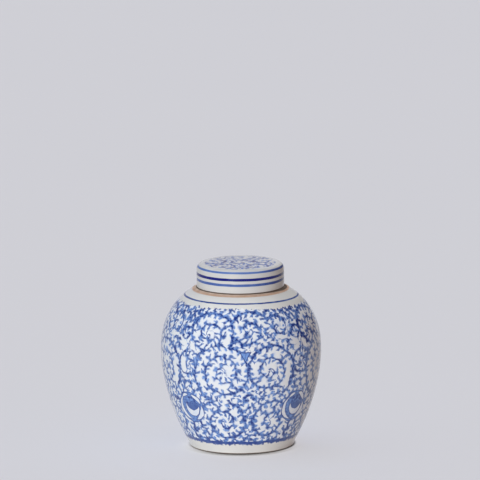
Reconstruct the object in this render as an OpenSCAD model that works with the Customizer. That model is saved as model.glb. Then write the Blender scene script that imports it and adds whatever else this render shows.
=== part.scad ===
// Ginger jar: a round porcelain jar with a flat cap lid that lifts straight off its neck.
// Millimetres. The origin is on the jar's axis, in the plane that the foot ring stands on, +Z up.

/* [Body] */
// Diameter across the widest line of the belly
belly_d = 165; // [155:1:175]
// Height of the widest line above the table
belly_z = 104; // [98:1:110]
// Diameter of the body where its curve runs down to the table
foot_d = 105; // [98:1:112]
// Fullness of the shoulder: 2 gives an ellipse, more gives a squarer shoulder
shoulder_power = 2.5; // [2.1:0.1:3]
// Wall thickness of the body
wall = 5; // [4:0.5:6]

/* [Foot] */
// Width of the ring that stands on the table
foot_ring_w = 6; // [5:0.5:8]
// Depth of the recess inside the ring
foot_recess = 3.5; // [2:0.5:5]
// Radius that softens the outer and inner edges of the ring
foot_edge = 1.5; // [1:0.1:1.8]
// Thickness of the floor above the recess
floor_t = 7; // [5:0.5:9]
// Radius of the curve between the floor and the inside wall
floor_cove = 14; // [10:1:18]

/* [Neck and seat] */
// Height of the flat seat that the lid stands on
seat_z = 166; // [162:1:170]
// Outer diameter of the seat, which is also the lid's
seat_d = 90; // [86:1:94]
// Height of the neck above the seat
neck_h = 12.5; // [9:0.5:14]
// Wall thickness of the neck
neck_wall = 4.5; // [4:0.25:5.5]

/* [Lid] */
// Height of the lid from its rim to its top
lid_h = 24; // [22:0.5:28]
// Wall thickness of the lid's side
lid_wall = 4; // [3.5:0.25:4.5]
// Thickness of the lid's top
lid_top_t = 4.5; // [4:0.25:5]
// Radius of the lid's outer top edge
lid_edge = 6; // [4.5:0.5:6]
// Radius of the cove between the lid's top and side on the inside
lid_cove = 3; // [2:0.5:4]
// Radius that softens the edges of the lid's rim
rim_edge = 0.8; // [0.5:0.1:1]
// Gap all round between the lid's side and the neck
lid_gap = 1.5; // [1:0.1:2]

/* [Hidden] */

$fn = 96;
belly_r = belly_d / 2;
foot_r = foot_d / 2;
seat_r = seat_d / 2;
lid_r = seat_r;
lid_in_r = lid_r - lid_wall;
neck_r = lid_in_r - lid_gap;
neck_in_r = neck_r - neck_wall;
neck_top = seat_z + neck_h;
floor_z = foot_recess + floor_t;

// The ring's outer edge meets the body's curve at this height
foot_top = 2 * foot_edge;
ring_out_r = lower_r(foot_top) - foot_edge;
ring_in_r = ring_out_r - foot_ring_w + foot_edge;

// Height above the belly at which the shoulder's curve would reach the axis,
// chosen so that the curve passes through the outer edge of the seat
dome_h = (seat_z - belly_z) / dome_share(seat_r, belly_r);
dome_in_h = dome_h - wall;

// Number of straight steps that stand for each curve
lower_steps = 16;
upper_steps = 18;
edge_steps = 6;

// Radius of the body below the belly: a parabola from the table to the widest line
function lower_r(z) = belly_r - (belly_r - foot_r) * pow(1 - z / belly_z, 2);

// Share of its full height that a shoulder of belly radius rb has climbed at radius r
function dome_share(r, rb) = sqrt(1 - pow(r / rb, shoulder_power));

// A point on a shoulder of belly radius rb and full height h, at climb angle a
function dome_point(rb, h, a) = [rb * pow(cos(a), 2 / shoulder_power), belly_z + h * sin(a)];

// Points of a shoulder curve from the belly up to radius r_end
function dome(rb, h, r_end) =
    let (a_end = asin(dome_share(r_end, rb)))
    [for (i = [1 : upper_steps]) dome_point(rb, h, a_end * i / upper_steps)];

// Points of an arc about [cx, cz], from angle a0 to angle a1
function arc(cx, cz, r, a0, a1) =
    [for (i = [0 : edge_steps])
        let (a = a0 + (a1 - a0) * i / edge_steps)
        [cx + r * cos(a), cz + r * sin(a)]];

// Points of the lower body at heights z0 to z1, moved inwards by t
function lower(z0, z1, t) =
    [for (i = [1 : lower_steps])
        let (z = z0 + (z1 - z0) * i / lower_steps)
        [lower_r(z) - t, z]];

function reversed(points) = [for (i = [len(points) - 1 : -1 : 0]) points[i]];

// The thrown body: foot ring, belly, shoulder, seat and neck, hollow right through the neck
module jar_body() {
    cove_r = lower_r(floor_z + floor_cove) - wall - floor_cove;
    neck_edge = neck_wall / 3;
    outside = concat(
        [[0, foot_recess]],
        [[ring_in_r - foot_edge, foot_recess]],
        arc(ring_in_r, foot_edge, foot_edge, 180, 270),
        arc(ring_out_r, foot_edge, foot_edge, 270, 360),
        lower(foot_top, belly_z, 0),
        dome(belly_r, dome_h, seat_r),
        [[neck_r, seat_z]],
        arc(neck_r - neck_edge, neck_top - neck_edge, neck_edge, 0, 90));
    inside = concat(
        [[0, floor_z]],
        arc(cove_r, floor_z + floor_cove, floor_cove, -90, 0),
        lower(floor_z + floor_cove, belly_z, wall),
        dome(belly_r - wall, dome_in_h, neck_in_r),
        reversed(arc(neck_in_r + neck_edge, neck_top - neck_edge, neck_edge, 90, 180)));
    color([0.90, 0.92, 0.95])
        rotate_extrude() polygon(concat(outside, reversed(inside)));
}

// The cap lid: a flat top with a rounded edge and a straight side that drops over the neck
module lid() {
    lid_top = seat_z + lid_h;
    roof_z = lid_top - lid_top_t;
    outline = concat(
        arc(lid_in_r + rim_edge, seat_z + rim_edge, rim_edge, 180, 270),
        arc(lid_r - rim_edge, seat_z + rim_edge, rim_edge, 270, 360),
        arc(lid_r - lid_edge, lid_top - lid_edge, lid_edge, 0, 90),
        [[0, lid_top], [0, roof_z]],
        reversed(arc(lid_in_r - lid_cove, roof_z - lid_cove, lid_cove, 0, 90)));
    color([0.86, 0.89, 0.95])
        rotate_extrude() polygon(outline);
}

jar_body();
lid();
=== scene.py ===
"""Ginger jar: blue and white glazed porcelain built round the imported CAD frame.

The pieces are lathe meshes with the same outline as the CAD solids. The painting is worked out in
the materials from the position on the wall: scrolls, leaves, flowers and bands are all formulas.
Lengths in the outlines and in the painting are in millimetres; the meshes are in metres.
"""
import math

import bpy
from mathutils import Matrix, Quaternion, Vector, noise


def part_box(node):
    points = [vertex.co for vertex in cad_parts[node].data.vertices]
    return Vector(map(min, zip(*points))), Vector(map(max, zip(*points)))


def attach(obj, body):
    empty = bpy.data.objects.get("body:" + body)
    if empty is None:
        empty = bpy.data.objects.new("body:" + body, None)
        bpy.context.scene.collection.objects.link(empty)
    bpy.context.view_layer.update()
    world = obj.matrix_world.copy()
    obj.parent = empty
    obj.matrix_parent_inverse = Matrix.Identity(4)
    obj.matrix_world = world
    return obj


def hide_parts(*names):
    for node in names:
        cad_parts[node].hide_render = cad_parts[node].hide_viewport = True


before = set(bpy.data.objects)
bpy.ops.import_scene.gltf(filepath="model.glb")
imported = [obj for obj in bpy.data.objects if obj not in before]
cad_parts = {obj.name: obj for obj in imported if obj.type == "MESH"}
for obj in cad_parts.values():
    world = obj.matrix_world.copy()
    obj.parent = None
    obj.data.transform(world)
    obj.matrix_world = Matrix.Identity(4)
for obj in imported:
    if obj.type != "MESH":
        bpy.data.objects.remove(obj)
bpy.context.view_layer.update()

MM = 0.001
TWO_PI = 2 * math.pi


# ---------------------------------------------------------------- sizes, from the frame

_, jar_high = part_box("jar_body")
lid_low, lid_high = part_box("lid")

BELLY_R = jar_high[0] / MM
NECK_TOP = jar_high[2] / MM
SEAT_Z = lid_low[2] / MM
LID_R = lid_high[0] / MM
LID_TOP = lid_high[2] / MM

BELLY_Z = 104.0           # height of the widest line
FOOT_R = 52.5             # radius at which the wall's curve reaches the table
SHOULDER_POWER = 2.5      # fullness of the shoulder
WALL = 5.0                # thickness of the body's wall
FLOOR_Z = 10.5            # height of the inside's floor
FLOOR_COVE = 14.0         # rounding between that floor and the wall
FOOT_RECESS = 3.5         # depth of the hollow under the foot
FOOT_EDGE = 1.5           # rounding of the foot ring
FOOT_RING_W = 6.0
NECK_WALL = 4.5
LID_WALL = 4.0
LID_GAP = 1.5             # clearance between the lid and the neck
LID_TOP_T = 4.5           # thickness of the lid's roof
LID_EDGE = 6.0            # rounding of the lid's top edge
LID_COVE = 3.0            # rounding under the roof
RIM_EDGE = 0.8            # rounding of the lid's rim

NECK_R = LID_R - LID_WALL - LID_GAP
NECK_IN_R = NECK_R - NECK_WALL
SEAT_SHARE = math.sqrt(1 - (LID_R / BELLY_R) ** SHOULDER_POWER)
DOME_H = (SEAT_Z - BELLY_Z) / SEAT_SHARE  # the shoulder's curve would close this far above the belly

# Painted and glazed zones of the body; each Z is a height on the outside
GLAZE_TOP_Z = 163.8       # the glaze stops here, below the seat
GLAZE_T = 0.25            # the step down from the glaze to the bare clay
SHOULDER_LINE_Z = 158.05
PATTERN_TOP_Z = 153.3
BASE_LINE_Z = 13.3
LIP_GLAZE_DEPTH = 4.0     # the glaze inside the neck starts this far below the lip

# Painted lines of the lid: height, half width, depth of tone
LID_LINES = (
    (187.4, 0.95, 0.5),
    (180.4, 1.45, 1.0),
    (174.7, 1.35, 0.62),
)

LID_BARE_H = 2.5          # height of the bare clay inside the lid's rim
LID_TOP_DEPTH = 0.9       # no further down than this is the lid's top
LID_PAINTED_R = 36.5      # the vine on the lid's top fills this radius
LID_MIDDLE_R = 14.0       # radius of the scroll in the middle of the vine
LID_SCROLLS = 5           # scrolls in a ring round it
LID_SCROLLS_AT = 26.0     # their distance from the lid's middle
LID_SCROLL_R = 16.0
LID_SCROLL_LOSS = 11.0    # how much of a scroll's radius is lost in a turn


# ---------------------------------------------------------------- outlines

def lower_r(z):
    """Radius of the outside below the belly: a parabola."""
    return BELLY_R - (BELLY_R - FOOT_R) * (1 - z / BELLY_Z) ** 2


def dome(belly_r, height, r_end, steps):
    """Points of the shoulder from the belly up to radius r_end. The curve would close height mm
    above the belly."""
    end = math.asin(math.sqrt(1 - (r_end / belly_r) ** SHOULDER_POWER))
    points = []
    for i in range(1, steps + 1):
        climb = end * i / steps
        radius = belly_r * math.cos(climb) ** (2 / SHOULDER_POWER)
        points.append((radius, BELLY_Z + height * math.sin(climb)))
    return points


def arc(cx, cz, radius, start, end, steps=8):
    """Points of an arc about (cx, cz); the angles are in degrees from the +radius direction."""
    angles = [math.radians(start + (end - start) * i / steps) for i in range(steps + 1)]
    return [(cx + radius * math.cos(a), cz + radius * math.sin(a)) for a in angles]


def line(start, end, steps):
    """Evenly spaced points from start to end, leaving out the first."""
    return [(start[0] + (end[0] - start[0]) * i / steps,
             start[1] + (end[1] - start[1]) * i / steps) for i in range(1, steps + 1)]


def lower(z_start, z_end, inset, steps):
    """Points of the wall below the belly, moved inwards by inset."""
    heights = [z_start + (z_end - z_start) * i / steps for i in range(1, steps + 1)]
    return [(lower_r(z) - inset, z) for z in heights]


def wall_height(z):
    """Length along the outside wall up to height z, which is what a painter measures."""
    if z <= BELLY_Z:
        return z
    return BELLY_Z + DOME_H * math.asin((z - BELLY_Z) / DOME_H)


# ---------------------------------------------------------------- lathe

SEGMENTS = 256            # faces in one turn
SAME_POINT = 1e-4         # outline points nearer than this are one point, mm
ON_AXIS = 1e-6            # a point nearer to the axis than this lies on it, mm


def lathe(name, runs, materials, wobble):
    """Turns runs of outline points into one closed mesh of revolution.

    runs is a list of (material index, points); the first point of the first run and the last
    point of the last run lie on the axis. wobble(angle, r, z) gives the radial hand-made error."""
    outline = []
    bands = []
    for index, points in runs:
        for point in points:
            if outline and math.dist(outline[-1], point) < SAME_POINT:
                continue
            outline.append(point)
            bands.append(index)
    vertices = []
    rings = []
    for r, z in outline:
        if r < ON_AXIS:
            rings.append([len(vertices)])
            vertices.append((0, 0, z * MM))
            continue
        ring = []
        for s in range(SEGMENTS):
            angle = TWO_PI * s / SEGMENTS
            r_here = r + wobble(angle, r, z)
            ring.append(len(vertices))
            vertices.append((r_here * MM * math.cos(angle), r_here * MM * math.sin(angle), z * MM))
        rings.append(ring)
    faces = []
    face_material = []
    for below, above, index in zip(rings, rings[1:], bands[1:]):
        for s in range(SEGMENTS):
            t = (s + 1) % SEGMENTS
            if len(below) == 1:
                face = (below[0], above[t], above[s])
            elif len(above) == 1:
                face = (below[s], below[t], above[0])
            else:
                face = (below[s], below[t], above[t], above[s])
            faces.append(face)
            face_material.append(index)
    mesh = bpy.data.meshes.new(name)
    mesh.from_pydata(vertices, [], faces)
    for material in materials:
        mesh.materials.append(material)
    mesh.polygons.foreach_set("material_index", face_material)
    mesh.polygons.foreach_set("use_smooth", [True] * len(faces))
    mesh.update()
    piece = bpy.data.objects.new(name, mesh)
    bpy.context.scene.collection.objects.link(piece)
    return piece


# How far the pieces are from round, in mm
BODY_OVAL = 0.14
BODY_THREE_SIDED = 0.07
LUMP_DEPTH = 0.22
LUMP_W = 38.0
LUMP_H = 34.0
RING_DEPTH = 0.05
RING_PITCH = 8.5
LID_OVAL = 0.06
TRUE_R = 40.0             # nearer to the axis than this the error fades away


def hand_thrown(angle, r, z):
    """Radial error of a thrown pot: a soft oval, lumps, and faint rings that climb the wall."""
    oval = BODY_OVAL * math.sin(2 * angle + 0.7) + BODY_THREE_SIDED * math.sin(3 * angle + 2.1)
    place = Vector((math.cos(angle) * r / LUMP_W, math.sin(angle) * r / LUMP_W, z / LUMP_H))
    lumps = LUMP_DEPTH * noise.noise(place)
    rings = RING_DEPTH * math.sin(TWO_PI * (z / RING_PITCH + angle / TWO_PI))
    return (oval + lumps + rings) * min(1.0, r / TRUE_R)


def moulded(angle, r, z):
    """Radial error of the lid: a very slight oval only, the same at every height."""
    return LID_OVAL * math.sin(2 * angle + 1.9) * min(1.0, r / TRUE_R)


# ---------------------------------------------------------------- numbers that vary over a surface

class Field:
    """A number worked out at every point of a surface; arithmetic on it adds shader nodes."""

    def __init__(self, socket):
        self.socket = socket

    def __add__(self, other):
        return maths("ADD", self, other)

    def __sub__(self, other):
        return maths("SUBTRACT", self, other)

    def __rsub__(self, other):
        return maths("SUBTRACT", other, self)

    def __mul__(self, other):
        return maths("MULTIPLY", self, other)

    def __truediv__(self, other):
        return maths("DIVIDE", self, other)

    __radd__ = __add__


def plug(tree, value, socket):
    """Links a field to a socket, or sets the socket to a plain number."""
    if isinstance(value, Field):
        tree.links.new(value.socket, socket)
    else:
        socket.default_value = value


def maths(operation, *values):
    """A field worked out from fields and plain numbers by one maths node."""
    tree = next(v for v in values if isinstance(v, Field)).socket.id_data
    node = tree.nodes.new("ShaderNodeMath")
    node.operation = operation
    for value, socket in zip(values, node.inputs):
        plug(tree, value, socket)
    return Field(node.outputs[0])


def absolute(a):
    return maths("ABSOLUTE", a)


def lowest(a, b):
    return maths("MINIMUM", a, b)


def highest(a, b):
    return maths("MAXIMUM", a, b)


def joined(a, b, softness):
    """The higher of two depths, with the corner between them filled in."""
    return maths("SMOOTH_MAX", a, b, softness)


def fract(a):
    return maths("FRACT", a)


def floor(a):
    return maths("FLOOR", a)


def rounded(a):
    return maths("ROUND", a)


def sine(a):
    return maths("SINE", a)


def root(a):
    return maths("SQRT", a)


def arctan2(a, b):
    return maths("ARCTAN2", a, b)


def less(a, b):
    return maths("LESS_THAN", a, b)


def greater(a, b):
    return maths("GREATER_THAN", a, b)


def clamp(a, low=0.0, high=1.0):
    return lowest(highest(a, low), high)


def distance(a, b):
    return root(a * a + b * b)


def constant(value, beside):
    """The same number everywhere, as a field of the shader that another field belongs to."""
    return beside * 0.0 + value


def pick(choice, yes, no):
    """yes where choice is 1, no where it is 0, and a blend between."""
    tree = choice.socket.id_data
    node = tree.nodes.new("ShaderNodeMix")
    plug(tree, choice, node.inputs[0])
    plug(tree, no, node.inputs[2])
    plug(tree, yes, node.inputs[3])
    return Field(node.outputs[0])


def step_up(a, low, high):
    """0 below low, 1 above high, smooth between. With low above high it falls from 1 to 0 instead."""
    tree = a.socket.id_data
    node = tree.nodes.new("ShaderNodeMapRange")
    node.interpolation_type = "SMOOTHSTEP"
    plug(tree, a, node.inputs["Value"])
    node.inputs["From Min"].default_value = low
    node.inputs["From Max"].default_value = high
    return Field(node.outputs[0])


def blend(choice, yes, no):
    """A colour that is yes where choice is 1 and no where it is 0. Each is an RGB triple or a field."""
    tree = choice.socket.id_data
    node = tree.nodes.new("ShaderNodeMix")
    node.data_type = "RGBA"
    plug(tree, choice, node.inputs[0])
    for colour, socket in ((no, node.inputs[6]), (yes, node.inputs[7])):
        if isinstance(colour, Field):
            tree.links.new(colour.socket, socket)
        else:
            socket.default_value = (*colour, 1.0)
    return Field(node.outputs[2])


NOISE_GAIN = 3.2          # widens the noise node's output to about -1 to 1


class Surface:
    """The places of one material's shader: x, y and z in millimetres, and noise over them."""

    def __init__(self, tree):
        self.tree = tree
        coordinates = tree.nodes.new("ShaderNodeTexCoord")
        scale = tree.nodes.new("ShaderNodeVectorMath")
        scale.operation = "SCALE"
        scale.inputs["Scale"].default_value = 1 / MM
        tree.links.new(coordinates.outputs["Object"], scale.inputs[0])
        split = tree.nodes.new("ShaderNodeSeparateXYZ")
        tree.links.new(scale.outputs[0], split.inputs[0])
        self.place = scale.outputs[0]
        self.x, self.y, self.z = (Field(socket) for socket in split.outputs)

    def noises(self, size, detail=1.0, squash=(1.0, 1.0, 1.0)):
        """Three independent noises with features of about size mm, centred on 0, about -1 to 1."""
        stretch = self.tree.nodes.new("ShaderNodeVectorMath")
        stretch.operation = "MULTIPLY"
        stretch.inputs[1].default_value = [s / size for s in squash]
        self.tree.links.new(self.place, stretch.inputs[0])
        texture = self.tree.nodes.new("ShaderNodeTexNoise")
        texture.inputs["Scale"].default_value = 1.0
        texture.inputs["Detail"].default_value = detail
        self.tree.links.new(stretch.outputs[0], texture.inputs["Vector"])
        split = self.tree.nodes.new("ShaderNodeSeparateColor")
        self.tree.links.new(texture.outputs["Color"], split.inputs[0])
        return [(Field(socket) - 0.5) * NOISE_GAIN for socket in split.outputs]

    def noise(self, size, detail=1.0, squash=(1.0, 1.0, 1.0)):
        """One such noise."""
        return self.noises(size, detail, squash)[0]


# ---------------------------------------------------------------- the painting on the body

BLUE_DEEP = (0.010, 0.036, 0.225)
LID_BLUE_DEEP = (0.002, 0.007, 0.165)
BLUE_WASH = (0.185, 0.345, 0.74)
BLEED_BLUE = (0.50, 0.62, 0.88)     # cobalt carried into the glaze

PANEL = math.pi / 2       # the painting repeats every quarter turn

# Scrolls of one panel. Each is a stem that winds inwards: azimuth in degrees, height along the
# wall, radius where the stem starts, how much of it is lost in a turn, the angle at which it
# starts, and 1 or -1 for the way it turns.
SCROLLS = (
    (-25.0, 130.5, 27.0, 12.5, -30, 1),
    (-13.0, 91.0, 35.5, 12.3, 285, -1),
    (21.0, 93.0, 30.0, 12.0, -60, 1),
    (6.0, 134.5, 23.5, 12.5, 10, 1),
    (-14.5, 37.0, 27.5, 12.0, 200, -1),
    (24.0, 37.0, 26.0, 12.0, -40, 1),
    (-40.5, 97.0, 15.0, 9.5, 90, 1),
    (30.0, 137.0, 15.0, 10.0, 200, -1),
    (46.0, 128.0, 9.0, 8.0, 60, 1),
    (46.0, 20.0, 6.0, 6.0, 60, 1),
    (5.0, 63.0, 6.0, 6.0, 0, 1),
)

# Places the brush left bare in every panel: azimuth, height along the wall, half width, half height
BARE = (
    (-37.5, 116.0, 5.5, 7.0),
    (36.0, 84.0, 3.4, 17.0),
    (44.0, 118.0, 4.0, 11.0),
    (33.0, 125.0, 6.0, 2.6),
    (37.5, 138.0, 2.6, 6.5),
    (-30.5, 80.0, 2.2, 6.0),
    (-10.0, 123.5, 6.0, 2.5),
    (8.0, 116.0, 2.5, 3.0),
)

# Places the brush went over more fully in every panel, given in the same way. The panel's edges
# are at azimuths 45 and -45, so a place at 45 is found at -45 as well.
DENSE = (
    (45.0, 147.0, 24.0, 10.0),
    (-4.0, 62.0, 13.0, 8.0),
    (5.0, 36.0, 17.0, 10.0),
    (36.0, 40.0, 6.0, 14.0),
    (42.0, 78.0, 8.0, 8.0),
)

# Bare and full places that are found only once on the jar
BARE_ONCE = (
    (-46.0, 93.0, 4.5, 12.0),
)
DENSE_ONCE = (
    (54.0, 116.0, 7.0, 26.0),
    (46.0, 76.0, 6.0, 6.0),
    (-53.0, 138.0, 6.0, 12.0),
    (-46.0, 116.0, 4.0, 6.0),
)

ROW_GAP = 8.2             # from one row of leaves to the next, outside the scrolls
ROW_SHIFT = 0.37          # each row starts this share of a pitch further on
LEAF_PITCH_BIG = 7.2      # spacing of leaves along a stem, in a scroll and outside it
LEAF_PITCH_SMALL = 6.8
LEAF_LONG = 5.6           # length of a leaf, in a scroll and outside it
LEAF_SHORT = 4.8
LEAF_HALF = 1.35          # half width of a leaf
LEAF_ROUNDING = 1.5       # how far the corners at its tip are rounded
LEAF_LEAN = 2.6           # how far a leaf's tip bends along its stem
LEAF_FORK = 3.0           # how fast the two lobes of a leaf's tip part
LEAF_FORK_AT = 0.45       # the share of its length at which they start to part
LEAF_STRAY = 2.8          # how much a leaf's place along the stem varies
STEM_HALF = 0.75          # half width of a stem
SCROLL_STEM_HALF = 1.45   # a scroll's stem is drawn with a fuller brush
CORNER_FILL = 2.4         # how far the corners between leaf and stem are filled with ink
SOFT_EDGE = 0.75          # how far the cobalt's edge runs in the glaze, either way
BLEED_REACH = 2.2         # how far from the ink a trace of cobalt still shows
LINE_SAG = 2.2            # how far the shoulder line would sag at the jar's right end
TOP_SAG = 4.0             # and the top of the leaves


def panel_place(azimuth, wall, radius, at_azimuth, at_wall, period=PANEL):
    """Place in mm to the right of and above a point of the wall that is repeated at every period."""
    turn = fract((azimuth - math.radians(at_azimuth)) * (1 / period) + 0.5) - 0.5
    return turn * radius * period, wall - at_wall


def nearest_scroll(places):
    """Distance outside the nearest scroll's stem, the share of a turn since the stem's start,
    the radius at the start and what it loses in a turn.

    places holds (dx, dy, start radius, loss, start angle in degrees, way) for each scroll."""
    edge = None
    for dx, dy, start_r, loss, start, way in places:
        turn = fract(arctan2(dy, dx) * (way / TWO_PI) - way * start / 360)
        outside = distance(dx, dy) + turn * loss - start_r
        if edge is None:
            edge = outside
            share = turn
            size = constant(start_r, outside)
            drop = constant(loss, outside)
            continue
        nearer = less(outside, edge)
        share = pick(nearer, turn, share)
        size = pick(nearer, start_r, size)
        drop = pick(nearer, loss, drop)
        edge = lowest(outside, edge)
    return edge, share, size, drop


def patches(in_panel, once, azimuth, wall, radius):
    """1 inside the given oval spots: those of every panel, and those found once on the jar."""
    inside = None
    for spots, period in ((in_panel, PANEL), (once, TWO_PI)):
        for at_azimuth, at_wall, half_w, half_h in spots:
            dx, dy = panel_place(azimuth, wall, radius, at_azimuth, at_wall, period)
            depth = 1.0 - distance(dx * (1 / half_w), dy * (1 / half_h))
            inside = depth if inside is None else highest(inside, depth)
    return step_up(inside, -0.15, 0.35)


def vines(places, bare, pressure):
    """Stems and leaves round scrolls. Gives the depth inside the ink in mm, the depth inside a
    stem, a random number for each leaf, and 1 inside a scroll. Leaves are short where bare is 1,
    and stems are thick where the brush's pressure is high."""
    edge, share, size, loss = nearest_scroll(places)
    inside = less(edge, ROW_GAP / 2)
    # which turn of the stem, or which row of leaves outside it, is the nearest
    turn = highest(rounded((0 - edge) / loss), 0.0)
    row = highest(rounded(edge * (1 / ROW_GAP)), 0.0)
    off = edge + turn * loss - row * ROW_GAP
    far = absolute(off)
    # how far along the stem, counted in leaves, with those of one side half a pitch further on
    turns = share + turn
    pitch = pick(inside, LEAF_PITCH_BIG, LEAF_PITCH_SMALL)
    wound = (size - turns * loss * 0.5) * turns + row * ROW_GAP * share
    side = greater(off, 0.0)
    count = wound * TWO_PI / pitch + side * 0.5 + row * ROW_SHIFT
    # a well scattered number from 0 to 1 for each leaf, which then sets its length and width
    chance = fract(sine(floor(count) * 12.9898 + side * 37.7 + size) * 437.585)
    length = pick(inside, LEAF_LONG, LEAF_SHORT) * (1 - bare * 0.8) * (0.6 + chance * 0.75)
    reach = far / length
    lean = reach * reach * LEAF_LEAN
    along = absolute((fract(count) - 0.5) * pitch - lean + (chance - 0.5) * LEAF_STRAY)
    along = absolute(along - highest(reach - LEAF_FORK_AT, 0.0) * LEAF_FORK)
    half = (1.3 - reach * 0.5 - chance * 0.2) * LEAF_HALF
    leaf = maths("SMOOTH_MIN", half - along, (1 - reach) * length, LEAF_ROUNDING)
    # the stem is thinner where it is bare, and towards the middle of a scroll
    stem = pick(inside, SCROLL_STEM_HALF, STEM_HALF) * (1 - bare * 0.6)
    stem = stem * (1 + pressure * 0.35 - turns * 0.25) - far
    return joined(leaf, stem, CORNER_FILL), stem, chance, inside


# The crescent flower, in mm from its middle
FLOWER_AT = (-43.6, 50.5)           # azimuth, height along the wall
FLOWER_EYE = (2.2, 4.2, 8.1)        # right, up, radius
FLOWER_CRESCENT = (1.7, -1.0, 8.5)
FLOWER_PETALS_AT = 13.9             # distance of the outer petals from the middle
FLOWER_R = 16.8
# Outer petals: degrees clockwise from the top, half the angle covered, half thickness
FLOWER_PETALS = (
    (-105, 66, 1.8),
    (-25, 18, 1.5),
    (42, 30, 2.0),
    (120, 40, 2.3),
)


def crescent_flower(azimuth, wall, radius, mottle):
    """A round flower head: an eye with a white crescent under it, a pale ring, and white outer
    petals. Gives the places that it covers, its ink and its depth of tone."""
    dx, dy = panel_place(azimuth, wall, radius, *FLOWER_AT)
    far = distance(dx, dy)
    eye_x, eye_y, eye_r = FLOWER_EYE
    in_eye = eye_r - distance(dx - eye_x, dy - eye_y)
    crescent_x, crescent_y, crescent_r = FLOWER_CRESCENT
    in_crescent = lowest(crescent_r - distance(dx - crescent_x, dy - crescent_y), 0 - in_eye)
    white = in_crescent
    degrees = arctan2(dx, dy) * math.degrees(1)
    for middle, half_angle, half_thick in FLOWER_PETALS:
        round_it = absolute(fract((degrees - middle) * (1 / 360) + 0.5) - 0.5) * (360 / half_angle)
        petal = (1 - round_it * round_it) * half_thick - absolute(far - FLOWER_PETALS_AT)
        white = highest(white, petal)
    # the eye is plain below and spotted above; every white part has a thin dark outline
    spots = mottle * step_up(dy - eye_y, -3.0, 1.5) * 0.75
    tone = pick(step_up(in_eye, -0.2, 0.2), 0.7 + spots, 0.42 + mottle * 0.5)
    tone = highest(tone, step_up(white, -1.2, -0.3) * 0.9)
    tone = highest(tone, step_up(far, FLOWER_R - 1.4, FLOWER_R - 0.6) * 0.75)
    return step_up(FLOWER_R - far, -0.2, 0.2), 1 - step_up(white, -0.2, 0.2), tone


# The bell flower, in mm from its middle
BELL_AT = (3.0, 108.0)              # azimuth, height along the wall
BELL_POINT = 6.0                    # how far down its point lies
BELL_TOP = 4.8                      # how far up its flat top lies
BELL_FLARE = 0.62                   # gain of its half width for each mm above the point


def bell_flower(azimuth, wall, radius, mottle):
    """A small pale triangle with a dark outline and a vein, its point down. Gives the same three
    fields as the crescent flower; all of it is inked."""
    dx, dy = panel_place(azimuth, wall, radius, *BELL_AT)
    depth = lowest((dy + BELL_POINT) * BELL_FLARE - absolute(dx), BELL_TOP - dy)
    outline = step_up(depth, 1.5, 0.7)
    vein = step_up(absolute(dx - dy * 0.3), 0.7, 0.3) * 0.5
    tone = highest(outline, vein) * 0.8 + mottle * 0.2 + 0.12
    return step_up(depth, -0.2, 0.2), constant(1.0, dx), tone


def band(height, at, half_width):
    """Depth of ink of a painted band round the jar, 0 to 1."""
    return step_up(half_width - absolute(height - at), -0.15, 0.15)


class Hand:
    """The painter's hand: how far its strokes stray, in mm, and how the ink varies."""

    def __init__(self, surface):
        self.wide_x, wide_y, self.patch = surface.noises(18.0)
        self.fine_x, fine_y, self.shade = surface.noises(6.0)
        self.ragged_x, ragged_y, self.mottle = surface.noises(2.4)
        self.blades = surface.noise(2.6, squash=(1.0, 1.0, 0.15))
        self.stray_x = self.wide_x * 1.2 + self.fine_x * 1.35 + self.ragged_x * 0.25
        self.stray_y = wide_y * 1.2 + fine_y * 1.35 + ragged_y * 0.25


def body_vines(hand, azimuth, wall, radius, z):
    """The scrolls and leaves of the body: depth inside the ink in mm, and tone."""
    hand_azimuth = azimuth + hand.stray_x / radius
    hand_wall = wall + hand.stray_y
    places = []
    for at_azimuth, at_wall, start_r, loss, start, way in SCROLLS:
        dx, dy = panel_place(hand_azimuth, hand_wall, radius, at_azimuth, at_wall)
        places.append((dx, dy, start_r, loss, start, way))
    bare = patches(BARE, BARE_ONCE, hand_azimuth, hand_wall, radius)
    depth, stem, chance, inside = vines(places, bare, hand.shade)
    # the brush was fuller towards the top and the foot of the painted zone
    fuller = step_up(wall, 142.0, 160.0) * 0.3 + step_up(z, 20.0, 15.0) * 0.5
    fuller = fuller + step_up(z, 52.0, 30.0) * 0.1
    fuller = fuller + patches(DENSE, DENSE_ONCE, hand_azimuth, hand_wall, radius) * 0.45
    tone = hand.shade * 0.3 + hand.mottle * 0.45 + chance * 0.35 + fuller * 0.3 + 0.25
    stem_tone = hand.patch * 0.3 + hand.mottle * 0.85 + inside * 0.1 + 0.6
    tone = highest(tone, step_up(stem, -0.9, 0.3) * stem_tone)
    return depth + hand.mottle * 0.35 + fuller, tone


def body_lines(hand, z, to_right):
    """Ink of the shoulder line, and of the base line with the tufts that hang from it."""
    base_line = band(z + hand.ragged_x * 0.25, BASE_LINE_Z, 1.25 + hand.patch * 0.2)
    tufts = step_up(z - BASE_LINE_Z + 2.6 + hand.ragged_x * 1.6, -0.9, 0.9) * less(z, BASE_LINE_Z)
    sag = to_right * to_right * LINE_SAG
    shoulder_line = band(z + hand.fine_x * 0.12 + sag, SHOULDER_LINE_Z, 0.62 + hand.patch * 0.12)
    return highest(highest(base_line, tufts * less(hand.shade, 0.6)), shoulder_line)


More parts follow.
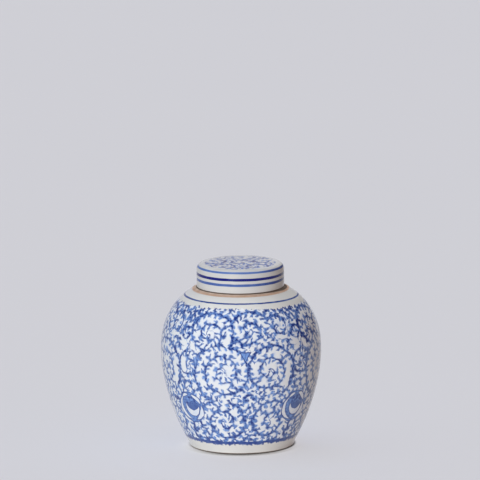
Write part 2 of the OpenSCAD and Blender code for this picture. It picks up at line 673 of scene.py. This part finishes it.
def body_painting(surface):
    """Everything painted on the outside of the body: ink, tone, the cobalt that bleeds into the
    glaze, and 1 in the zone that the leaves fill."""
    z = surface.z
    radius = distance(surface.x, surface.y)
    azimuth = arctan2(surface.x, 0 - surface.y)
    climb = clamp((z - BELLY_Z) * (1 / DOME_H), 0.0, 0.98)
    wall = lowest(z, BELLY_Z) + maths("ARCSINE", climb) * DOME_H
    # the painter's hand wanders, so the pattern is looked up a little off its place
    hand = Hand(surface)
    depth, tone = body_vines(hand, azimuth, wall, radius, z)
    ink = step_up(depth, -SOFT_EDGE, SOFT_EDGE)
    bleed = step_up(depth, -BLEED_REACH, 0.2)
    # the flowers were drawn with more care
    flower_azimuth = azimuth + hand.stray_x * 0.4 / radius
    flower_wall = wall + hand.stray_y * 0.4
    for flower in (crescent_flower, bell_flower):
        mask, flower_ink, flower_tone = flower(flower_azimuth, flower_wall, radius, hand.mottle)
        ink = pick(mask, flower_ink, ink)
        tone = pick(mask, flower_tone + hand.shade * 0.12, tone)
    # the leaves along the top end in short upright strokes, darker at their ends; they and the
    # shoulder line were painted a little low on the right
    to_right = clamp(surface.x * (1 / BELLY_R))
    top = wall_height(PATTERN_TOP_Z) - to_right * TOP_SAG
    below_top = top + hand.wide_x + hand.fine_x * 0.8 + hand.blades * 2.6 - wall
    in_zone = step_up(below_top, -0.5, 0.5) * greater(z, BASE_LINE_Z)
    tone = tone + step_up(below_top, 5.0, 0.0) * 0.3
    lines = body_lines(hand, z, to_right)
    tone = pick(lines, 0.88 + hand.shade * 0.15, tone)
    return highest(ink * in_zone, lines), clamp(tone), bleed * in_zone, in_zone


# ---------------------------------------------------------------- materials

PAINTED_WHITES = ((0.76, 0.79, 0.85), (0.82, 0.84, 0.87))  # glaze lying thick, and thin
PLAIN_WHITES = ((0.68, 0.68, 0.68), (0.74, 0.73, 0.71))    # the same where nothing is painted
LID_WHITES = ((0.59, 0.59, 0.60), (0.64, 0.63, 0.61))
IRON_SPECK = (0.30, 0.25, 0.20)
GLAZE_SHINE = 0.5
LID_SHINE = 0.25                                           # the lid's glaze is thinner
GLAZE_IOR = 1.52
GLAZE_ROUGHNESS = 0.13
COAT = 0.1                                                 # a faint second gloss over the glaze
COAT_ROUGHNESS = 0.06


def new_material(name):
    """A material, its shader and its surface."""
    material = bpy.data.materials.new(name)
    material.use_nodes = True
    shader = material.node_tree.nodes["Principled BSDF"]
    return material, shader, Surface(material.node_tree)


def add_bump(surface, shader, height, scale_mm):
    """Roughens the shading by a height field; a height of 1 stands for scale_mm."""
    bump = surface.tree.nodes.new("ShaderNodeBump")
    bump.inputs["Distance"].default_value = scale_mm * MM
    plug(surface.tree, height, bump.inputs["Height"])
    surface.tree.links.new(bump.outputs[0], shader.inputs["Normal"])


def glaze(surface, shader, colour, shine=GLAZE_SHINE):
    """Clear glossy glaze over a colour: faint orange peel, and a gloss that varies a little."""
    peel = surface.noise(3.5, detail=2.0)
    smear = surface.noise(30.0)
    roughness = clamp(smear * 0.03 + peel * 0.012 + GLAZE_ROUGHNESS, 0.05, 0.3)
    plug(surface.tree, colour, shader.inputs["Base Color"])
    plug(surface.tree, roughness, shader.inputs["Roughness"])
    shader.inputs["Specular IOR Level"].default_value = shine
    shader.inputs["IOR"].default_value = GLAZE_IOR
    shader.inputs["Coat Weight"].default_value = COAT
    shader.inputs["Coat Roughness"].default_value = COAT_ROUGHNESS
    add_bump(surface, shader, peel + smear * 2.0, 0.02)


def glaze_white(surface, whites):
    """The glaze's own white: cooler where it lies thick, with a few iron specks."""
    pooled = surface.noise(26.0, detail=2.0)
    specks = surface.noise(1.1)
    white = blend(step_up(pooled, -0.8, 0.8), *whites)
    return blend(step_up(specks, 1.02, 1.12) * 0.6, IRON_SPECK, white)


def painted_body():
    """The body's outside: cobalt painting under the glaze."""
    material, shader, surface = new_material("painted_porcelain")
    ink, tone, bleed, in_zone = body_painting(surface)
    blue = blend(tone, BLUE_DEEP, BLUE_WASH)
    white = blend(in_zone, glaze_white(surface, PAINTED_WHITES), glaze_white(surface, PLAIN_WHITES))
    white = blend(bleed * 0.35, BLEED_BLUE, white)
    glaze(surface, shader, blend(ink, blue, white))
    return material


def lid_scroll(surface):
    """The vine on the lid's top: a ring of scrolls round a middle one. Gives ink and tone."""
    wide_x, wide_y, patch = surface.noises(15.0)
    fine_x, fine_y, shade = surface.noises(5.0)
    x = surface.x + wide_x + fine_x * 0.7
    y = surface.y + wide_y + fine_y * 0.7
    places = [(x, y, LID_MIDDLE_R, LID_SCROLL_LOSS, 0, 1)]
    for i in range(LID_SCROLLS):
        turn = TWO_PI * (i + 0.25) / LID_SCROLLS
        dx = x - LID_SCROLLS_AT * math.cos(turn)
        dy = y - LID_SCROLLS_AT * math.sin(turn)
        start = 360 * i / LID_SCROLLS
        way = 1 - 2 * (i % 2)
        places.append((dx, dy, LID_SCROLL_R, LID_SCROLL_LOSS, start, way))
    depth, stem, chance, _ = vines(places, constant(0.0, x), shade)
    far = distance(surface.x, surface.y)
    edge = LID_PAINTED_R + wide_x * 0.7 + fine_x * 0.9 - far
    ink = step_up(depth, -0.3, 0.3) * step_up(edge, -0.5, 0.5)
    tone = shade * 0.3 + chance * 0.3 + 0.4
    return ink, highest(tone, step_up(stem, -0.6, 0.3) * (patch * 0.3 + 0.85))


def painted_lid():
    """The lid's outside: three lines round its side and a worn vine on its top."""
    material, shader, surface = new_material("lid_porcelain")
    z = surface.z
    patch = surface.noise(14.0)
    waver = surface.noise(22.0) * 0.18
    lines = None
    tones = None
    for at, half_width, deep in LID_LINES:
        one = band(z + waver, at, half_width + patch * half_width * 0.12)
        depth = one * deep
        lines = one if lines is None else highest(lines, one)
        tones = depth if tones is None else highest(tones, depth)
    lines = lines * greater(distance(surface.x, surface.y), LID_R - LID_EDGE)
    # the lines are painted darker to the right: painted shade of the lid's side that faces away from
    # the light
    to_right = clamp(surface.x * (1 / LID_R))
    tones = tones + to_right * to_right * 0.35
    worn = surface.noise(7.0, detail=2.0)
    on_top = greater(z, LID_TOP - LID_TOP_DEPTH)
    vine, vine_tone = lid_scroll(surface)
    # the vine is worn, and paler away from the front
    vine = vine * on_top * clamp(0.95 + worn * 0.25 - surface.y * (0.4 / LID_PAINTED_R))
    ink = highest(lines, vine)
    blue = blend(clamp(pick(on_top, vine_tone, tones) + patch * 0.08), LID_BLUE_DEEP, BLUE_WASH)
    glaze(surface, shader, blend(ink, blue, glaze_white(surface, LID_WHITES)), LID_SHINE)
    return material


def plain_glaze():
    """The unpainted glaze of the insides and of the foot's recess."""
    material, shader, surface = new_material("plain_glaze")
    glaze(surface, shader, glaze_white(surface, PLAIN_WHITES))
    return material


CLAY_DARK = (0.53, 0.38, 0.30)
CLAY_PALE = (0.70, 0.56, 0.47)
CLAY_GRAIN = (0.20, 0.13, 0.09)
TOASTED = (0.50, 0.25, 0.13)
# colour of the painted shade in the gap under the lid's edge and on the foot's edge
PAINTED_SHADE = (0.050, 0.038, 0.030)
CLAY_ROUGHNESS = 0.78
GAP_SHADE_W = 0.85            # width of the painted shade in the gap round the lid's edge
GAP_SHADE_GAIN = 2.4          # how much wider the painted shade is at the right end, away from the light
FOOT_SHADE_Z = 1.5        # the foot's edge is painted dark with shade below this height


def biscuit():
    """Bare fired clay: toasted orange-brown where the glaze stops, sandy and matt, with painted shade
    under the lid's edge and at the foot.
    """
    material, shader, surface = new_material("biscuit")
    toast = surface.noise(7.0, detail=3.0)
    grain = surface.noise(0.7, detail=2.0)
    clay = blend(step_up(toast, -0.8, 0.9), CLAY_DARK, CLAY_PALE)
    clay = blend(step_up(grain, 0.5, 1.2) * 0.4, CLAY_GRAIN, clay)
    # the fire has toasted a narrow line beside the glaze's edge
    from_glaze = absolute(surface.z - GLAZE_TOP_Z)
    clay = blend(step_up(from_glaze, 1.3, 0.4) * 0.4, TOASTED, clay)
    # painted shade: a dark ring in the gap where the lid's edge rests, on the body and on the lid
    # alike, widest on the right, away from the light
    from_lid_edge = distance(distance(surface.x, surface.y) - LID_R, (surface.z - SEAT_Z) * 0.6)
    to_side = clamp(surface.x * (1 / LID_R))
    gap_shade_w = GAP_SHADE_W + to_side * to_side * to_side * GAP_SHADE_GAIN
    gap_shade = step_up(gap_shade_w - from_lid_edge, -0.4, 0.5)
    # painted shade on the foot's rounded edge, where it meets the floor
    foot_shade = step_up(FOOT_SHADE_Z - surface.z, -0.3, 0.4)
    clay = blend(highest(gap_shade, foot_shade) * 0.85, PAINTED_SHADE, clay)
    plug(surface.tree, clay, shader.inputs["Base Color"])
    plug(surface.tree, clamp(grain * 0.06 + CLAY_ROUGHNESS), shader.inputs["Roughness"])
    add_bump(surface, shader, grain, 0.08)
    return material


# ---------------------------------------------------------------- pieces

PAINTED, GLAZED, BARE_CLAY = range(3)     # places of the materials in each piece's list


def make_body(materials):
    """The body as a lathe mesh: under the foot, up the outside, over the lip and down the inside."""
    foot_top = 2 * FOOT_EDGE
    ring_out_r = lower_r(foot_top) - FOOT_EDGE
    ring_in_r = ring_out_r - FOOT_RING_W + FOOT_EDGE
    cove_r = lower_r(FLOOR_Z + FLOOR_COVE) - WALL - FLOOR_COVE
    neck_edge = NECK_WALL / 3
    shoulder = dome(BELLY_R, DOME_H, LID_R, 72)
    glazed_shoulder = [p for p in shoulder if p[1] < GLAZE_TOP_Z]
    bare_shoulder = [(r - GLAZE_T, z) for r, z in shoulder if z >= GLAZE_TOP_Z]
    inner_shoulder = dome(BELLY_R - WALL, DOME_H - WALL, NECK_IN_R, 40)
    glaze_in_z = NECK_TOP - LIP_GLAZE_DEPTH
    runs = [
        (GLAZED, [(0, FOOT_RECESS)]),
        (GLAZED, line((0, FOOT_RECESS), (ring_in_r - FOOT_EDGE, FOOT_RECESS), 10)),
        (BARE_CLAY, arc(ring_in_r, FOOT_EDGE, FOOT_EDGE, 180, 270)),
        (BARE_CLAY, arc(ring_out_r, FOOT_EDGE, FOOT_EDGE, 270, 350, 9)),
        (PAINTED, [(ring_out_r + FOOT_EDGE, FOOT_EDGE)]),
        (PAINTED, lower(foot_top, BELLY_Z, 0, 90)),
        (PAINTED, glazed_shoulder),
        (BARE_CLAY, bare_shoulder),
        (BARE_CLAY, line((LID_R - GLAZE_T, SEAT_Z), (NECK_R, SEAT_Z), 4)),
        (BARE_CLAY, line((NECK_R, SEAT_Z), (NECK_R, NECK_TOP - neck_edge), 8)),
        (BARE_CLAY, arc(NECK_R - neck_edge, NECK_TOP - neck_edge, neck_edge, 0, 90)),
        (BARE_CLAY, arc(NECK_IN_R + neck_edge, NECK_TOP - neck_edge, neck_edge, 90, 180)),
        (BARE_CLAY, line((NECK_IN_R, NECK_TOP - neck_edge), (NECK_IN_R, glaze_in_z), 2)),
        (GLAZED, line((NECK_IN_R, glaze_in_z), inner_shoulder[-1], 6)),
        (GLAZED, inner_shoulder[::-1]),
        (GLAZED, lower(FLOOR_Z + FLOOR_COVE, BELLY_Z, WALL, 40)[::-1]),
        (GLAZED, arc(cove_r, FLOOR_Z + FLOOR_COVE, FLOOR_COVE, -90, 0, 10)[::-1]),
        (GLAZED, line((cove_r, FLOOR_Z), (0, FLOOR_Z), 8)),
    ]
    piece = lathe("jar_porcelain", runs, materials, hand_thrown)
    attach(piece, "jar")
    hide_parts("jar_body")
    return piece


def make_lid(materials):
    """The lid as a lathe mesh: across the roof's underside, down the inside, and over the outside."""
    lid_in_r = LID_R - LID_WALL
    roof_z = LID_TOP - LID_TOP_T
    rim_z = SEAT_Z + RIM_EDGE
    bare_z = rim_z + LID_BARE_H
    runs = [
        (GLAZED, [(0, roof_z)]),
        (GLAZED, line((0, roof_z), (lid_in_r - LID_COVE, roof_z), 8)),
        (GLAZED, arc(lid_in_r - LID_COVE, roof_z - LID_COVE, LID_COVE, 90, 0)),
        (GLAZED, line((lid_in_r, roof_z - LID_COVE), (lid_in_r, bare_z), 10)),
        (BARE_CLAY, line((lid_in_r, bare_z), (lid_in_r, rim_z), 2)),
        (BARE_CLAY, arc(lid_in_r + RIM_EDGE, rim_z, RIM_EDGE, 180, 270)),
        (BARE_CLAY, arc(LID_R - RIM_EDGE, rim_z, RIM_EDGE, 270, 340)),
        (PAINTED, arc(LID_R - RIM_EDGE, rim_z, RIM_EDGE, 350, 360, 2)),
        (PAINTED, line((LID_R, rim_z), (LID_R, LID_TOP - LID_EDGE), 20)),
        (PAINTED, arc(LID_R - LID_EDGE, LID_TOP - LID_EDGE, LID_EDGE, 0, 90, 14)),
        (PAINTED, line((LID_R - LID_EDGE, LID_TOP), (0, LID_TOP), 20)),
    ]
    piece = lathe("lid_porcelain", runs, materials, moulded)
    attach(piece, "lid")
    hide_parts("lid")
    return piece


# ---------------------------------------------------------------- floor

FLOOR_HALF = 14.0         # half the floor's width, in metres
PAPER = ((0.712, 0.722, 0.772), (0.718, 0.728, 0.778))
PAPER_PATCH = 900.0       # size of the places where the paper's tone differs
PAPER_WARM = (0.54, 0.44, 0.16)
PAPER_SHADOW = (0.05, 0.05, 0.05)
PAPER_ROUGHNESS = 0.9
PAPER_SHINE = 0.1
WARM_REACH = 90.0         # how far in front of the jar the paper is warmer
SHADE_REACH = 10.0        # how far in front the painted shadow reaches
TOUCH_REACH = 2.5         # how far the painted contact shadow reaches all round
OCCLUSION_SAMPLES = 8


def occlusion(surface, reach):
    """0 in the open; rises where something stands within reach mm."""
    node = surface.tree.nodes.new("ShaderNodeAmbientOcclusion")
    node.samples = OCCLUSION_SAMPLES
    node.inputs["Distance"].default_value = reach * MM
    return clamp(1 - Field(node.outputs["AO"]))


def pale_paper():
    """The floor's paper: even, with a painted contact shadow where the jar's foot stands on it."""
    material, shader, surface = new_material("pale_paper")
    uneven = surface.noise(PAPER_PATCH, detail=2.0)
    paper = blend(step_up(uneven, -1.0, 1.0), *PAPER)
    far = distance(surface.x, surface.y)
    front = clamp((0 - surface.y) / far)
    # some warmth in front, against the blue light that the jar throws there
    paper = blend(occlusion(surface, WARM_REACH) * front * 0.35, PAPER_WARM, paper)
    # the painted contact shadow is darkest in front and to the right, away from the light
    front_right = clamp((surface.x * 0.75 - surface.y * 0.66) / far * 0.9 + 0.9, 0.1, 1.6)
    contact_shadow = occlusion(surface, TOUCH_REACH) * front_right
    shade = occlusion(surface, SHADE_REACH) * front * front * 1.5
    paper = blend(highest(contact_shadow, shade), PAPER_SHADOW, paper)
    plug(surface.tree, paper, shader.inputs["Base Color"])
    shader.inputs["Roughness"].default_value = PAPER_ROUGHNESS
    shader.inputs["Specular IOR Level"].default_value = PAPER_SHINE
    return material


def make_stage():
    """A plain square floor that the jar stands on."""
    corners = [(-1, -1), (1, -1), (1, 1), (-1, 1)]
    mesh = bpy.data.meshes.new("floor")
    mesh.from_pydata([(x * FLOOR_HALF, y * FLOOR_HALF, 0) for x, y in corners], [], [(0, 1, 2, 3)])
    mesh.materials.append(pale_paper())
    floor_piece = bpy.data.objects.new("floor", mesh)
    bpy.context.scene.collection.objects.link(floor_piece)
    # the light that a floor throws back comes with the low key light instead
    floor_piece.visible_diffuse = False
    return floor_piece


# ---------------------------------------------------------------- light

STUDIO_BRIGHT = (0.98, 0.99, 1.0)
STUDIO_DIM = (0.55, 0.24, 0.13)
BACKDROP = (2.1, 2.1, 2.45)         # brighter than white, so that it shines in the lid
STUDIO_STRENGTH = 0.23

# Each light: azimuth, elevation, strength, spread in degrees, colour
JAR_LIGHTS = {
    "key_light": (-16, -16, 2.71, 34, (0.965, 0.985, 0.99)),
    "top_light": (-90, 88, 2.1, 50, (0.92, 0.96, 0.985)),
    "back_light": (172, 12, 1.3, 40, (1.0, 1.0, 1.0)),
}
FLOOR_LIGHTS = {
    "floor_light": (0, 60, 2.4, 60, (1.0, 1.0, 1.0)),
}


def make_world():
    """A pale studio: bright on most sides, dim and warm to the right, with a brighter backdrop
    behind the jar and to the left that shines in the lid's top."""
    world = bpy.data.worlds.new("studio")
    world.use_nodes = True
    tree = world.node_tree
    coordinates = tree.nodes.new("ShaderNodeTexCoord")
    split = tree.nodes.new("ShaderNodeSeparateXYZ")
    tree.links.new(coordinates.outputs["Generated"], split.inputs[0])
    x, y, z = (Field(socket) for socket in split.outputs)
    # the dim side faces right and a little to the front, and fades overhead
    to_right = x * 0.94 - y * 0.34 - highest(z, 0.0) * 0.4
    glow = blend(step_up(to_right, -0.1, 0.6), STUDIO_DIM, STUDIO_BRIGHT)
    behind = step_up(y, 0.5, 0.95) * step_up(x, 0.35, 0.0)
    glow = blend(behind, BACKDROP, glow)
    background = tree.nodes["Background"]
    plug(tree, glow, background.inputs["Color"])
    background.inputs["Strength"].default_value = STUDIO_STRENGTH
    bpy.context.scene.world = world


def add_sun(name, azimuth, elevation, strength, spread, colour):
    """A distant soft light; azimuth 0 is the camera's side and +90 is the picture's right."""
    light = bpy.data.lights.new(name, "SUN")
    light.energy = strength
    light.angle = math.radians(spread)
    light.color = colour
    lamp = bpy.data.objects.new(name, light)
    a = math.radians(azimuth)
    e = math.radians(elevation)
    towards = Vector((math.sin(a) * math.cos(e), -math.cos(a) * math.cos(e), math.sin(e)))
    lamp.rotation_euler = towards.to_track_quat("Z", "Y").to_euler()
    lamp.visible_glossy = False
    bpy.context.scene.collection.objects.link(lamp)
    return lamp


def light_only(pieces, lights, name):
    """Adds lights that only the given pieces receive and that only they shade."""
    lit = bpy.data.collections.new(name)
    for piece in pieces:
        lit.objects.link(piece)
    for light_name, settings in lights.items():
        lamp = add_sun(light_name, *settings)
        lamp.light_linking.receiver_collection = lit
        lamp.light_linking.blocker_collection = lit


# ---------------------------------------------------------------- camera

CAMERA_FAR = 8.0          # metres from the jar
CAMERA_ELEVATION = 11.95  # degrees
CAMERA_ROLL = -0.53       # degrees
SENSOR_W = 36.0           # mm
VIEW_W = 494.88           # width of the view at the jar, mm
CLIP_FAR = 100.0          # metres
TARGET_Z = 88.0           # height of the point on the jar's axis that the distance is taken from, mm
AIM_ABOVE = 123.3076      # how far above that point the camera looks, across its view, mm


def make_camera():
    """A long lens at the photograph's angle, with the jar low in the picture."""
    e = math.radians(CAMERA_ELEVATION)
    target = Vector((0, 0, TARGET_Z * MM))
    back = Vector((0, -math.cos(e), math.sin(e)))
    up = Vector((0, math.sin(e), math.cos(e)))
    place = target + back * CAMERA_FAR
    aim = target + up * (AIM_ABOVE * MM)
    camera = bpy.data.cameras.new("camera")
    camera.sensor_width = SENSOR_W
    camera.lens = SENSOR_W * CAMERA_FAR / (VIEW_W * MM)
    camera.clip_end = CLIP_FAR
    camera_piece = bpy.data.objects.new("camera", camera)
    camera_piece.location = place
    turn = (place - aim).to_track_quat("Z", "Y")
    camera_piece.rotation_mode = "QUATERNION"
    camera_piece.rotation_quaternion = turn @ Quaternion((0, 0, 1), math.radians(CAMERA_ROLL))
    bpy.context.scene.collection.objects.link(camera_piece)
    bpy.context.scene.camera = camera_piece


make_camera()
glazed = plain_glaze()
bare_clay = biscuit()
jar = make_body([painted_body(), glazed, bare_clay])
jar_lid = make_lid([painted_lid(), glazed, bare_clay])
paper_floor = make_stage()
make_world()
# the floor has a light of its own that nothing shades, so the jar stands on an even sheet
light_only([jar, jar_lid], JAR_LIGHTS, "lit_jar")
light_only([paper_floor], FLOOR_LIGHTS, "lit_floor")

bpy.context.scene.view_settings.view_transform = "Standard"
